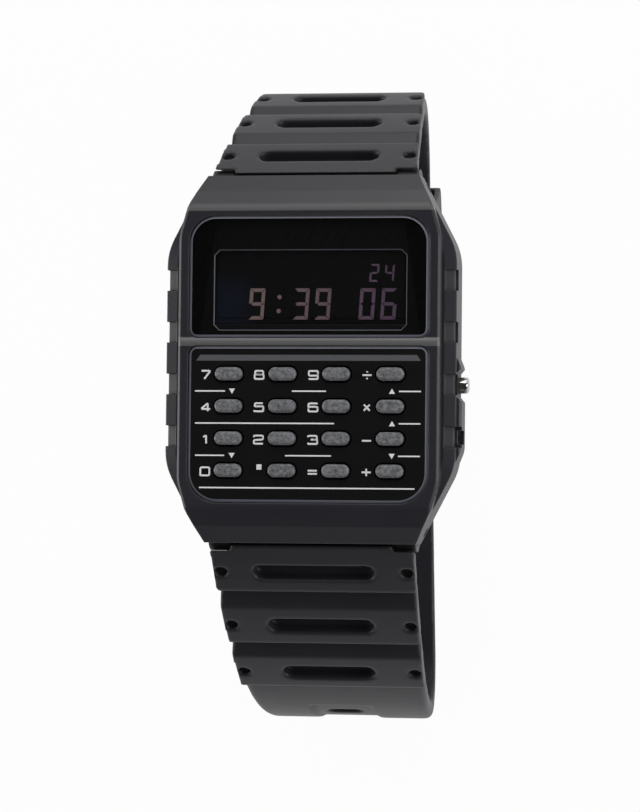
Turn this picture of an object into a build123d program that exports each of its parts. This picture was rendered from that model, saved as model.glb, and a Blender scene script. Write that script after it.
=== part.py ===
from build123d import *
import math
import os

# A calculator watch: resin case with a display window and sixteen keys, module inside, and a
# ribbed resin strap in two halves. Millimetres and degrees. +X is the three o'clock side,
# +Y the twelve o'clock side and +Z out of the dial. The origin is the centre of the case
# back's outer face. The strap hangs below it, closed to a loop and not fastened: the tail of
# the six o'clock half lies inside the loop, on the twelve o'clock half's buckle.

# The case. Its length follows the module's battery and chip, its width the keypad's columns and
# its height the stack from the back plate to the keypad; all are added up below the named sizes.
end_wall = 5.4
side_wall = 4.3
deck_thick = 1.8
end_width = 25.1
taper_length = 9.0
taper_round = 7.0
base_chamfer = 1.2

# Shoulder round the raised bezel, and the two sloped facets at each end
bezel_rise = 1.3
shoulder_run = 1.35
shoulder_drop = 0.55
bezel_inset = 1.7
bezel_taper = 3.25
bezel_round = 5.0
bezel_edge = 0.3
ridge_setback = 3.95
ridge_round = 0.5
bridge_rise = 0.15
facet_setback = 1.95
facet_drop = 0.95
end_drop = 2.45

# Side recesses, guard and the two side pushers
recess_pitch = 6.1
first_recess_y = 9.2
recess_length = 2.45
recess_run = 1.3
recess_depth = 0.28
recess_height = 2.0
guard_height = 0.55
guard_top_y = 0.2
guard_bottom_y = -11.9
guard_slope = 1.3
guard_below = 1.65
guard_above = 1.95
pusher_rise = 0.75
mode_reach = 1.15
adjust_reach = -0.35
mode_radius = 0.95
adjust_radius = 0.75
scoop_mouth = 2.1
scoop_floor = 1.35
stem_radius = 0.5
pusher_fit = 0.06
spring_wire = 0.16
spring_turns = 3
spring_length = 1.0
spring_clear = 0.04
seat_wall = 0.7
seal_section = 0.32
seal_groove = 0.38
seal_setback = 0.3
clip_thick = 0.22
clip_radius = 1.15
clip_groove = 0.14
clip_pocket = 1.0
clip_room = 0.35
seal_corner = 0.1

# Windows, display and keypad
rim_wall = 1.25
window_height = 14.4
window_end_room = 0.95
bridge_height = 0.85
panel_end_room = 0.7
window_round = 3.2
rim_small_round = 1.1
window_recess = 1.25
crystal_thick = 1.0
mask_thick = 0.2
crystal_bevel = 0.32
seat_gap = 0.06
opening_lip = 0.3
opening_inset = 1.0
view_side_room = 1.25
view_low_room = 0.05
view_high_room = 3.05
view_corner = 0.6
view_bevel = 0.12
panel_round = 3.6
panel_recess = 1.0
panel_thick = 0.9
key_columns = 4
key_rows = 4
key_pitch_x = 6.37
key_side_room = 4.695
key_top_room = 3.35
key_low_room = 3.77
key_offset_x = 0.2
key_length = 3.24
key_width = 1.54
key_rise = 0.5
key_edge = 0.24
key_hole_gap = 0.24
key_guide_gap = 0.12
key_flange = 0.4
key_flange_lip = 0.42
key_stop_gap = 0.05
key_travel = 0.45

# Module inside the case
cavity_corner = 3.6
module_gap = 0.3
back_thick = 0.6
back_inset = 1.35
back_edge = 0.15
gasket_width = 0.8
gasket_depth = 0.6
gasket_inset = 0.35
screw_inset_x = 0.3
screw_inset_y = 0.7
screw_head_radius = 1.05
screw_head_thick = 0.35
screw_head_sink = 0.05
screw_shank_radius = 0.6
screw_fit = 0.05
screw_length = 3.0
screw_slot = 0.3
screw_slot_depth = 0.15
buzzer_radius = 8.0
buzzer_thick = 0.2
buzzer_shift = 1.0
buzzer_gap = 0.23
battery_radius = 10.0
battery_thick = 1.6
battery_air = 0.15
battery_fit = 0.2
battery_step = 0.35
battery_step_inset = 1.4
frame_end_wall = 1.1
pocket_wall = 1.25
chip_end_wall = 1.55
clip_strip = 0.2
clip_width = 5.0
clip_air = 0.02
board_thick = 0.6
board_notch_depth = 1.3
board_notch_width = 2.6
chip_size = 6.5
chip_thick = 1.1
chip_room = 0.5
quartz_radius = 0.95
quartz_length = 5.6
quartz_inset = 4.2
mat_thick = 0.4
mat_inset = 1.0
dome_radius = 1.0
dome_top_radius = 0.75
holder_wall = 0.6
holder_gap = 0.1
lcd_thick = 1.15
lcd_air = 0.3
polariser_thick = 0.15
polariser_inset = 0.7
zebra_width = 1.3
zebra_inset = 2.6

# Strap: both halves follow a line that leaves the case end and curls round below it
strap_start_gap = 0.2
strap_start_drop = 0.45
strap_depth = 3.0
smooth_drop = 0.7
smooth_round = 0.9
lug_half_width = 12.2
side_half_width_12 = 9.6
end_half_width_12 = 7.6
side_half_width_6 = 10.1
floor_half_width_6 = 9.1
tail_half_width = 8.1
edge_round = 0.35
slope_12 = 50.0
slope_6 = 35.0
rib_run = 22.0
rib_run_radius = 74.0
flank_radius_6 = 29.0
flank_slope_6 = 90.0
smooth_low_12 = -39.0
tail_clearance = 0.3
tail_past_buckle = 2.0
tail_round_over = 0.16
rib_pitch = 8.5
first_groove = 8.4
groove_count = 2
groove_width = 2.5
groove_depth = 1.3
groove_step = 0.3
groove_side = 0.3
slot_lengths = (14.3, 12.6, 11.1)
slot_width = 2.15
slot_depth = 1.7
dimple_inset = 1.0
dimple_radius = 0.7
dimple_depth = 0.95
channel_width = 7.6
channel_depth = 0.3
channel_start = 31.0
hole_start = 35.0
hole_pitch = 6.8
hole_count = 10
hole_length = 4.2
hole_width = 1.9

# Lugs and spring bars
pivot_setback = 1.4
pivot_z = 2.6
knuckle_radius = 1.9
knuckle_gap = 0.25
ear_radius = 2.3
ear_gap = 0.12
ear_half = 12.3
root_half = 9.5
root_gap = 0.25
shoulder_gap = 0.9
swing_12 = 5.0
swing_clearance = 0.08
bar_radius = 0.75
bar_fit = 0.05
bar_tip_radius = 0.5
bar_tip_reach = 1.9

# Buckle, tongue and keeper
buckle_setback = 3.223
buckle_reach = 9.0
buckle_heel = 1.35
buckle_thick = 1.9
buckle_arm = 1.8
buckle_bar_width = 1.8
buckle_inner_half = 8.4
buckle_round = 1.2
buckle_edge = 0.35
pin_radius = 0.6
pin_overhang = 0.15
end_knuckle = 1.2
tongue_width = 2.0
tongue_thick = 0.65
tongue_eye = 1.1
tongue_tip = 0.5
tongue_slot_gap = 0.3
tongue_slot_depth = 2.0
tongue_rest_gap = 0.05
keeper_wall = 0.8
keeper_width = 4.4
keeper_slack = 0.15
keeper_side_gap = 0.89
keeper_layers_height = 4.9
keeper_start_angle = 13.0

cut_over = 1.0

# Length: the module's battery and chip pockets, then the walls round them
battery_pocket = 2 * (battery_radius + battery_fit)
chip_half = chip_size / 2 + chip_room
module_length = frame_end_wall + battery_pocket + pocket_wall + 2 * chip_half + chip_end_wall
cavity_length = module_length + 2 * module_gap
case_length = cavity_length + 2 * end_wall
half_length = case_length / 2
battery_y = -module_length / 2 + frame_end_wall + battery_pocket / 2
chip_y = module_length / 2 - chip_end_wall - chip_half
ridge_y = half_length - ridge_setback
facet_y = half_length - facet_setback
bezel_taper_y = ridge_y - bezel_taper
pivot_y = half_length - pivot_setback
window_y = ridge_y - window_end_room - window_height / 2
opening_height = window_height - 2 * opening_inset
view_height = opening_height - view_low_room - view_high_room
view_y = window_y - opening_height / 2 + view_low_room + view_height / 2
bridge_high = window_y - window_height / 2
bridge_low = bridge_high - bridge_height
panel_height = bridge_low + ridge_y - panel_end_room
panel_y = bridge_low - panel_height / 2
key_top_row_y = bridge_low - key_top_room
key_pitch_y = (panel_height - key_top_room - key_low_room) / (key_rows - 1)

# Width: the keypad's columns, then the rim, bezel and shoulder round them
rim_width = (key_columns - 1) * key_pitch_x + 2 * key_side_room
bezel_width = rim_width + 2 * rim_wall
case_width = bezel_width + 2 * bezel_inset
half_width = case_width / 2
cavity_width = case_width - 2 * side_wall
module_width = cavity_width - 2 * module_gap
opening_width = cavity_width - 2 * opening_lip
view_width = opening_width - 2 * view_side_room
mat_width = module_width - 2 * mat_inset
quartz_x = module_width / 2 - quartz_inset

# Height: back plate, sounder, clip, battery, board, key mat, key flanges, deck and panel
case_bottom = back_thick
battery_z = back_thick + buzzer_thick + buzzer_gap + clip_strip + clip_air
board_z = battery_z + battery_thick + battery_air
board_top = board_z + board_thick
mat_top = board_top + mat_thick
dome_height = 2 * key_travel
flange_low = mat_top + dome_height + key_stop_gap
flange_top = flange_low + key_flange
deck_z = flange_top + key_stop_gap
panel_floor_z = deck_z + deck_thick
case_top = panel_floor_z + panel_recess
window_floor_z = case_top - window_recess
lcd_z = window_floor_z - lcd_air - polariser_thick - lcd_thick
key_top = case_top + key_rise
shoulder_z = case_top - bezel_rise
facet_z = case_top - facet_drop
end_z = case_top - end_drop
strap_start_z = end_z - strap_start_drop
recess_floor_z = shoulder_z - recess_height
pusher_z = board_z + pusher_rise

reach = 3 * case_length
tiny = case_length / 1e6
mode_y = first_recess_y - 2 * recess_pitch
adjust_y = first_recess_y - 3 * recess_pitch
key_names = ("7", "8", "9", "divide", "4", "5", "6", "times",
             "1", "2", "3", "minus", "0", "point", "equals", "plus")
parts = {}


def block(x0, x1, y0, y1, z0, z1):
    centre = Pos((x0 + x1) / 2, (y0 + y1) / 2, (z0 + z1) / 2)
    return centre * Box(x1 - x0, y1 - y0, z1 - z0)


def slab(sketch, low, high):
    return extrude(Plane.XY.offset(low) * sketch, high - low, dir=(0, 0, 1))


def disc(radius, x, y, low, high):
    return Pos(x, y, (low + high) / 2) * Cylinder(radius, high - low)


def rod(radius, x0, x1, y, z):
    return Pos((x0 + x1) / 2, y, z) * Rot(0, 90, 0) * Cylinder(radius, abs(x1 - x0))


def across(points, half):
    return extrude(Plane.YZ * make_face(Polyline(*points, close=True)), half, both=True)


# A plan that is the same in all four quarters, with a rounding for each of a quarter's corners
def four_way(quarter, roundings):
    right = quarter + [(x, -y) for x, y in reversed(quarter)]
    plan = Polygon(*right, *[(-x, -y) for x, y in right], align=None)
    for (x, y), radius in zip(quarter, roundings):
        if radius:
            corners = [v for v in plan.vertices() if abs(abs(v.X) - x) < tiny and abs(abs(v.Y) - y) < tiny]
            plan = fillet(corners, radius)
    return plan


# A rounded rectangle whose upper corners and lower corners have their own radii
def window_plan(width, height, y, upper, lower):
    plan = Pos(0, y) * Rectangle(width, height)
    plan = fillet([v for v in plan.vertices() if v.Y > y], upper)
    return fillet([v for v in plan.vertices() if v.Y < y and abs(v.X) > width / 2 - tiny], lower)


def taper_half(y):
    share = (half_length - y) / taper_length
    return end_width / 2 + share * (case_width - end_width) / 2


# Case body
case_quarter = [(end_width / 2, half_length), (half_width, half_length - taper_length)]
body_low = slab(four_way(case_quarter, (0, taper_round)), case_bottom, shoulder_z)
body_top = body_low.faces().sort_by(Axis.Z)[-1]
side_edges = [e for e in body_top.edges() if abs(e.center().Y) < half_length - tiny]
body_low = chamfer(side_edges, shoulder_run, shoulder_drop, reference=body_top)
body_low = chamfer(body_low.faces().sort_by(Axis.Z)[0].edges(), base_chamfer)
bezel_quarter = [(end_width / 2, half_length), (taper_half(ridge_y), ridge_y), (bezel_width / 2, bezel_taper_y)]
bezel = slab(four_way(bezel_quarter, (0, 0, bezel_round)), shoulder_z - shoulder_drop, case_top)
bezel_top = bezel.faces().sort_by(Axis.Z)[-1]
bezel = chamfer([e for e in bezel_top.edges() if abs(e.center().Y) < half_length - tiny], bezel_edge)
guard_quarter = [(half_width - recess_run, guard_top_y + guard_slope), (half_width, guard_top_y),
                 (half_width + guard_height, guard_top_y - guard_slope),
                 (half_width + guard_height, guard_bottom_y + guard_slope),
                 (half_width, guard_bottom_y), (half_width - recess_run, guard_bottom_y - guard_slope)]
guard = slab(Polygon(*guard_quarter, align=None), pusher_z - guard_below, pusher_z + guard_above)
guard = chamfer(guard.faces().sort_by(Axis.X)[-1].edges(), guard_height / 2)
case_body = body_low + bezel + guard
ridge_slope = math.atan2(case_top - facet_z, facet_y - ridge_y)
ridge_end = (ridge_y + ridge_round * math.cos(ridge_slope), case_top - ridge_round * math.sin(ridge_slope))
sag = ridge_round * math.tan(ridge_slope / 2) * math.cos(ridge_slope / 2)
ridge_middle = ((ridge_y - ridge_round + ridge_end[0]) / 2 + sag / 2 * math.sin(ridge_slope / 2),
                (case_top + ridge_end[1]) / 2 + sag / 2 * math.cos(ridge_slope / 2))
for side in (1, -1):
    ridge = [(side * y, z) for y, z in ((ridge_y - ridge_round, case_top), ridge_middle, ridge_end)]
    slopes = [ridge_end, (facet_y, facet_z), (half_length, end_z), (half_length + cut_over, end_z),
              (half_length + cut_over, case_top + cut_over), (ridge_y - ridge_round, case_top + cut_over),
              (ridge_y - ridge_round, case_top)]
    slope_face = make_face([ThreePointArc(*ridge), Polyline(*[(side * y, z) for y, z in slopes])])
    case_body -= extrude(Plane.YZ * slope_face, half_width, both=True)

# Rounded bead between the two windows
bridge_half = bridge_height / 2
bridge_radius = (bridge_half ** 2 + bridge_rise ** 2) / (2 * bridge_rise)
bead = rod(bridge_radius, -bezel_width / 2 + bezel_edge, bezel_width / 2 - bezel_edge,
           (bridge_high + bridge_low) / 2, case_top + bridge_rise - bridge_radius)
case_body += bead & block(-half_width, half_width, bridge_low, bridge_high, panel_floor_z, case_top + cut_over)

# Recesses along both sides, the pushers' holes, scoop and pockets
wall_x = cavity_width / 2
spring_seat_x = wall_x + clip_pocket + seat_wall
pusher_places = {"mode": (mode_y, mode_radius, half_width + mode_reach),
                 "adjust": (adjust_y, adjust_radius, half_width + adjust_reach)}
recess_top = shoulder_z - shoulder_drop * (shoulder_run - recess_run) / shoulder_run
recess = [(half_width - recess_run, recess_top), (half_width - recess_run, recess_top - recess_depth),
          (half_width - recess_depth, shoulder_z - shoulder_drop - recess_depth),
          (half_width - recess_depth, recess_floor_z), (half_width + cut_over, recess_floor_z),
          (half_width + cut_over, recess_top)]
for n in range(4):
    y = first_recess_y - n * recess_pitch
    recess_cut = extrude(Plane.XZ.offset(-y) * make_face(Polyline(*recess, close=True)), recess_length / 2, both=True)
    case_body -= [recess_cut, mirror(recess_cut, Plane.YZ)]
scoop = [(half_width, mode_y + scoop_floor), (half_width + guard_height + cut_over, mode_y + scoop_mouth + cut_over),
         (half_width + guard_height + cut_over, mode_y - scoop_mouth - cut_over), (half_width, mode_y - scoop_floor)]
case_body -= slab(Polygon(*scoop, align=None), case_bottom, case_top)
case_body -= block(half_width, half_width + guard_height + cut_over, adjust_y - adjust_radius - pusher_fit,
                   adjust_y + adjust_radius + pusher_fit, pusher_z - adjust_radius - pusher_fit, case_top)
for y, radius, tip_x in pusher_places.values():
    case_body -= rod(stem_radius + pusher_fit, wall_x - cut_over, half_width, y, pusher_z)
    case_body -= rod(radius + pusher_fit, spring_seat_x, half_width + guard_height + cut_over, y, pusher_z)

# Cavity, screw holes, gasket groove, and the seats of the crystal, mask and keypad panel
def chamfered_plan(width, length, corner):
    x, y = width / 2, length / 2
    return four_way([(x - corner, y), (x, y - corner)], (0, 0))


cavity = slab(chamfered_plan(cavity_width, cavity_length, cavity_corner), case_bottom - cut_over, deck_z)
case_body -= cavity
for y, radius, tip_x in pusher_places.values():
    case_body -= block(wall_x - cut_over, wall_x + clip_pocket, y - clip_radius - clip_room,
                       y + clip_radius + clip_room, pusher_z - clip_radius - clip_room,
                       pusher_z + clip_radius + clip_room)
cavity_plan = chamfered_plan(cavity_width, cavity_length, cavity_corner)
gasket_inner = offset(cavity_plan, gasket_inset, kind=Kind.INTERSECTION)
gasket_outer = offset(gasket_inner, gasket_width, kind=Kind.INTERSECTION)
gasket = slab(gasket_outer - gasket_inner, case_bottom, case_bottom + gasket_depth)
case_body -= gasket
screw_x = wall_x - screw_inset_x
screw_y = cavity_length / 2 - screw_inset_y
screw_spots = [(sx * screw_x, sy * screw_y) for sx in (1, -1) for sy in (1, -1)]
for x, y in screw_spots:
    case_body -= disc(screw_shank_radius + screw_fit, x, y, case_bottom - cut_over,
                      case_bottom + screw_length + screw_fit)
window_outline = window_plan(rim_width, window_height, window_y, window_round, rim_small_round)
panel_outline = window_plan(rim_width, panel_height, panel_y, rim_small_round, panel_round)
case_body -= slab(window_outline, window_floor_z, case_top + cut_over)
case_body -= slab(panel_outline, panel_floor_z, case_top + cut_over)
case_body -= slab(Pos(0, window_y) * Rectangle(opening_width, opening_height), deck_z - cut_over, case_top)

key_places = {}
for row in range(key_rows):
    for column in range(key_columns):
        x = key_offset_x + (column - (key_columns - 1) / 2) * key_pitch_x
        key_places[key_names[row * key_columns + column]] = (x, key_top_row_y - row * key_pitch_y)


def pill(length, width, x, y, low, high):
    return slab(Pos(x, y) * SlotOverall(length, width), low, high)


for x, y in key_places.values():
    case_body -= pill(key_length + 2 * key_guide_gap, key_width + 2 * key_guide_gap, x, y,
                      deck_z - cut_over, case_top)

# Ears beside the strap roots, the lug slots between them, and the spring bar holes
slot_half = root_half + root_gap
for side in (1, -1):
    y = side * pivot_y
    ears = rod(ear_radius, -ear_half, ear_half, y, pivot_z) - rod(ear_radius + cut_over, -slot_half, slot_half, y, pivot_z)
    case_body += ears
    inner = pivot_y - knuckle_radius - knuckle_gap
    y0, y1 = sorted((side * inner, side * (half_length + cut_over)))
    case_body -= rod(knuckle_radius + knuckle_gap, -slot_half, slot_half, y, pivot_z)
    case_body -= block(-slot_half, slot_half, y0, y1, case_bottom - cut_over, pivot_z)
    case_body -= rod(bar_tip_radius + bar_fit, -half_width, half_width, y, pivot_z)
parts["case_body"] = case_body

# Window and keypad
mask_low = window_floor_z
crystal_low = mask_low + mask_thick
mask = slab(offset(window_outline, -seat_gap), mask_low, crystal_low)
view = chamfer((Pos(0, view_y) * Rectangle(view_width, view_height)).vertices(), view_corner)
mask -= slab(view, mask_low, case_top)
view_edges = [e for e in mask.faces().sort_by(Axis.Z)[-1].edges()
              if abs(e.center().X) < view_width / 2 + tiny and abs(e.center().Y - view_y) < view_height / 2 + tiny]
parts["window_mask"] = chamfer(view_edges, view_bevel)
crystal = slab(offset(window_outline, -seat_gap), crystal_low, crystal_low + crystal_thick)
parts["window_crystal"] = chamfer(crystal.faces().sort_by(Axis.Z)[-1].edges(), crystal_bevel)
panel = slab(offset(panel_outline, -seat_gap), panel_floor_z, panel_floor_z + panel_thick)
panel = chamfer(panel.faces().sort_by(Axis.Z)[-1].edges(), crystal_bevel)
for x, y in key_places.values():
    panel -= pill(key_length + 2 * key_hole_gap, key_width + 2 * key_hole_gap, x, y, panel_floor_z, case_top)
parts["keypad_panel"] = panel
for name, (x, y) in key_places.items():
    key = pill(key_length, key_width, x, y, flange_low, key_top)
    key = chamfer(key.faces().sort_by(Axis.Z)[-1].edges(), key_edge)
    flange = pill(key_length + 2 * key_flange_lip, key_width + 2 * key_flange_lip, x, y, flange_low, flange_top)
    parts["key_" + name] = key + flange

# Key mat: a rubber sheet with a dome under each key
module_plan = offset(cavity_plan, -module_gap, kind=Kind.INTERSECTION)
mat_low_y = key_top_row_y - (key_rows - 1) * key_pitch_y - key_width
mat_high_y = key_top_row_y + key_width
mat = block(-mat_width / 2, mat_width / 2, mat_low_y, mat_high_y, board_top, mat_top)
mat = mat & slab(module_plan, board_top, mat_top)
for x, y in key_places.values():
    mat += Pos(x, y, mat_top + dome_height / 2) * Cone(dome_radius, dome_top_radius, dome_height)
parts["key_mat"] = mat

# Display: holder, glass cell, polariser and the two contact strips
holder_half_x = opening_width / 2 - holder_gap
holder_half_y = opening_height / 2 - holder_gap
holder_top = mask_low
holder_plan = Pos(0, window_y) * Rectangle(2 * holder_half_x, 2 * holder_half_y)
holder = slab(holder_plan & module_plan, board_top, deck_z) + slab(holder_plan, deck_z, holder_top)
pocket_x = holder_half_x - holder_wall
pocket_y = holder_half_y - holder_wall
holder -= block(-pocket_x, pocket_x, window_y - pocket_y, window_y + pocket_y, board_top, holder_top)
parts["lcd_holder"] = holder
cell_x = pocket_x - holder_gap
cell_y = pocket_y - holder_gap
parts["lcd_cell"] = block(-cell_x, cell_x, window_y - cell_y, window_y + cell_y, lcd_z, lcd_z + lcd_thick)
parts["lcd_polariser"] = block(-cell_x + polariser_inset, cell_x - polariser_inset,
                               window_y - cell_y + polariser_inset, window_y + cell_y - polariser_inset,
                               lcd_z + lcd_thick, lcd_z + lcd_thick + polariser_thick)
strips = []
for side in (1, -1):
    y = window_y + side * (cell_y - zebra_width / 2)
    strips.append(block(-cell_x + zebra_inset, cell_x - zebra_inset, y - zebra_width / 2, y + zebra_width / 2,
                        board_top, lcd_z))
parts["zebra_strips"] = strips[0] + strips[1]

# Board with notches beside the pushers, chip under a resin blob, quartz can
board = slab(module_plan, board_z, board_top)
for y, radius, tip_x in pusher_places.values():
    board -= block(module_width / 2 - board_notch_depth, module_width, y - board_notch_width / 2,
                   y + board_notch_width / 2, board_z, board_top)
parts["circuit_board"] = board
chip = Pos(0, chip_y, board_z - chip_thick / 2) * Box(chip_size, chip_size, chip_thick)
parts["chip_blob"] = chamfer(chip.faces().sort_by(Axis.Z)[0].edges(), chip_thick / 3)
quartz_z = board_z - quartz_radius
parts["quartz_can"] = Pos(quartz_x, chip_y, quartz_z) * Rot(90, 0, 0) * Cylinder(quartz_radius, quartz_length)

# Module frame: a plate that holds the battery, with windows for the chip, the can and the clip
frame_low = battery_z
clip_arm_x = battery_radius + battery_fit + clip_air
module_frame = slab(module_plan, frame_low, board_z)
module_frame -= disc(battery_radius + battery_fit, 0, battery_y, frame_low, board_z)
module_frame -= block(-chip_half, chip_half, chip_y - chip_half, chip_y + chip_half, frame_low, board_z)
quartz_half_x = quartz_radius + clip_air
quartz_half_y = quartz_length / 2 + chip_room
module_frame -= block(quartz_x - quartz_half_x, quartz_x + quartz_half_x, chip_y - quartz_half_y,
                      chip_y + quartz_half_y, frame_low, board_z)
clip_half_y = clip_width / 2 + clip_air
for side in (1, -1):
    x0, x1 = sorted((side * battery_radius, side * (clip_arm_x + clip_strip + clip_air)))
    module_frame -= block(x0, x1, battery_y - clip_half_y, battery_y + clip_half_y, frame_low, board_z)
for y, radius, tip_x in pusher_places.values():
    module_frame -= block(module_width / 2 - board_notch_depth, module_width, y - board_notch_width / 2,
                          y + board_notch_width / 2, pusher_z - clip_radius, board_z)
parts["module_frame"] = module_frame
cell = disc(battery_radius, 0, battery_y, battery_z + battery_step, battery_z + battery_thick)
parts["battery"] = cell + disc(battery_radius - battery_step_inset, 0, battery_y, battery_z, battery_z + battery_step)
clip_low = battery_z - clip_air - clip_strip
clip = block(-clip_arm_x - clip_strip, clip_arm_x + clip_strip, battery_y - clip_width / 2,
             battery_y + clip_width / 2, clip_low, clip_low + clip_strip)
for side in (1, -1):
    x0, x1 = sorted((side * clip_arm_x, side * (clip_arm_x + clip_strip)))
    clip += block(x0, x1, battery_y - clip_width / 2, battery_y + clip_width / 2, clip_low, board_z)
parts["battery_clip"] = clip

# Back plate, gasket, screws and the sounder disc on the plate's inner face
back_quarter = [(taper_half(half_length - base_chamfer) - back_inset, half_length - base_chamfer - 2 * back_inset),
                (half_width - base_chamfer - back_inset / 2, half_length - taper_length - back_inset)]
back = slab(four_way(back_quarter, (back_inset, back_inset)), 0, back_thick)
back = chamfer(back.faces().sort_by(Axis.Z)[0].edges(), back_edge)
screws = []
for x, y in screw_spots:
    head_top = screw_head_sink + screw_head_thick
    back -= disc(screw_head_radius + screw_fit, x, y, 0, head_top)
    back -= disc(screw_shank_radius + screw_fit, x, y, 0, back_thick)
    screw = disc(screw_head_radius, x, y, screw_head_sink, head_top)
    screw += disc(screw_shank_radius, x, y, head_top, case_bottom + screw_length)
    for angle in (0, 90):
        cross = Box(2 * screw_shank_radius, screw_slot, 2 * screw_slot_depth)
        screw -= Pos(x, y, screw_head_sink) * Rot(0, 0, angle) * cross
    screws.append(screw)
parts["case_back"] = back
parts["back_screws"] = Compound(children=screws)
parts["back_gasket"] = gasket
parts["buzzer_disc"] = disc(buzzer_radius, 0, battery_y + buzzer_shift, back_thick, back_thick + buzzer_thick)

# Side pushers: head, stem, return spring, seal ring and retaining clip
for name, (y, radius, tip_x) in pusher_places.items():
    head_x = spring_seat_x + spring_length
    clip_x = wall_x + clip_pocket - clip_thick - clip_air
    stem_end = clip_x - 2 * clip_thick
    pusher = rod(radius, head_x, tip_x, y, pusher_z)
    pusher = chamfer(pusher.edges().sort_by(Axis.X)[-1], radius / 6)
    pusher += rod(stem_radius, stem_end, head_x, y, pusher_z)
    groove_x = head_x + seal_setback
    bore = radius + pusher_fit
    seal_middle = bore - clip_air - seal_section / 2
    groove_floor = seal_middle - seal_section / 2 - clip_air
    ring_cut = rod(radius + cut_over, groove_x, groove_x + seal_groove, y, pusher_z)
    pusher -= ring_cut - rod(groove_floor, groove_x, groove_x + seal_groove, y, pusher_z)
    ring_cut = rod(radius + cut_over, clip_x - clip_air, clip_x + clip_thick + clip_air, y, pusher_z)
    neck = stem_radius - clip_groove
    pusher -= ring_cut - rod(neck, clip_x - clip_air, clip_x + clip_thick + clip_air, y, pusher_z)
    parts[name + "_pusher"] = pusher
    seal_x = groove_x + seal_groove / 2
    seal = rod(seal_middle + seal_section / 2, seal_x - seal_section / 2, seal_x + seal_section / 2, y, pusher_z)
    seal -= rod(seal_middle - seal_section / 2, seal_x - seal_section, seal_x + seal_section, y, pusher_z)
    parts[name + "_seal"] = chamfer(seal.edges().filter_by(GeomType.CIRCLE), seal_corner)
    washer = rod(clip_radius, clip_x, clip_x + clip_thick, y, pusher_z)
    parts[name + "_clip"] = washer - rod(neck + clip_air, clip_x, clip_x + clip_thick, y, pusher_z)
    coil_radius = (stem_radius + radius) / 2
    lead = spring_wire / 2 + spring_clear
    coil = Helix((spring_length - 2 * lead) / spring_turns, spring_length - 2 * lead, coil_radius)
    wire = sweep(Plane(coil @ 0, x_dir=(0, 0, 1), z_dir=coil % 0) * Rectangle(spring_wire, spring_wire), coil,
                 is_frenet=True)
    parts[name + "_spring"] = Pos(spring_seat_x + lead, y, pusher_z) * Rot(0, 90, 0) * wire

# Spring bars between the case's corners
for name, side in (("12", 1), ("6", -1)):
    y = side * pivot_y
    bar = rod(bar_radius, -root_half, root_half, y, pivot_z)
    bar += rod(bar_tip_radius, -root_half - bar_tip_reach, root_half + bar_tip_reach, y, pivot_z)
    parts["spring_bar_" + name] = bar


# The strap's outer line: arcs of (length, radius), a radius of 0 being straight. A place on it
# is a length along the line and a depth under it, towards the inside of the loop.
def arc_to(slope, end_slope, radius):
    return (math.radians(end_slope - slope) * radius, radius)


def place(line, along, depth):
    start, slope, arcs = line
    y, z = start
    angle = math.radians(slope)
    for number, (length, radius) in enumerate(arcs):
        last = number == len(arcs) - 1
        step = along if last or along < length else length
        if radius:
            turned = angle + step / radius
            y += radius * (math.sin(turned) - math.sin(angle))
            z += radius * (math.cos(turned) - math.cos(angle))
            angle = turned
        else:
            y += step * math.cos(angle)
            z -= step * math.sin(angle)
        along -= step
        if along <= 0:
            break
    return (y - depth * math.sin(angle), z - depth * math.cos(angle)), math.degrees(angle)


def run(line, first, final, depth):
    bounds = [0]
    for length, radius in line[2]:
        bounds.append(bounds[-1] + length)
    cuts = sorted({first, final} | {b for b in bounds if min(first, final) < b < max(first, final)})
    if first > final:
        cuts.reverse()
    edges = []
    for a, b in zip(cuts, cuts[1:]):
        middle = (a + b) / 2
        radius = [r for s, (length, r) in zip(bounds, line[2]) if s <= middle][-1]
        ends = [place(line, s, depth)[0] for s in (a, middle, b)]
        edges.append(ThreePointArc(*ends) if radius else Line(ends[0], ends[2]))
    return edges


# Tool that trims both edges of a strap along a plane through three (half width, y, z) stations
def taper_tool(stations):
    (x1, y1, z1), (x2, y2, z2), (x3, y3, z3) = stations
    normal = Vector(x2 - x1, y2 - y1, z2 - z1).cross(Vector(x3 - x1, y3 - y1, z3 - z1))
    if normal.X < 0:
        normal = -normal
    outside = Plane((x1, y1, z1), z_dir=normal) * Box(reach, reach, reach, align=(Align.CENTER, Align.CENTER, Align.MIN))
    return outside + mirror(outside, Plane.YZ)


# One strap half in the +Y side's frame: ribs with grooves, then the smooth band
def strap_band(line, final):
    edges = []
    along = 0
    for n in range(groove_count):
        groove_first = first_groove + n * rib_pitch - groove_width / 2
        groove_final = groove_first + groove_width
        floor_at = groove_first + groove_step
        edges += run(line, along, groove_first, 0)
        floor, crest = place(line, floor_at, groove_depth)[0], place(line, groove_final, 0)[0]
        edges.append(Line(place(line, groove_first, 0)[0], floor))
        edges.append(Line(floor, crest))
        along = groove_final
    rib_end = first_groove + groove_count * rib_pitch - groove_width / 2
    edges += run(line, along, rib_end, 0)
    edges.append(Line(place(line, rib_end, 0)[0], place(line, rib_end, smooth_drop)[0]))
    edges += run(line, rib_end, final, smooth_drop)
    edges.append(Line(place(line, final, smooth_drop)[0], place(line, final, strap_depth)[0]))
    edges += run(line, final, 0, strap_depth)
    edges.append(Line(place(line, 0, strap_depth)[0], place(line, 0, 0)[0]))
    return extrude(Plane.YZ * make_face(edges), lug_half_width, both=True)


# A frame on the strap's outer line with z out of the strap and x across it
def seat(line, along, depth):
    (y, z), slope = place(line, along, depth)
    angle = math.radians(slope)
    return Plane((0, y, z), x_dir=(1, 0, 0), z_dir=(0, math.sin(angle), math.cos(angle)))


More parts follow.
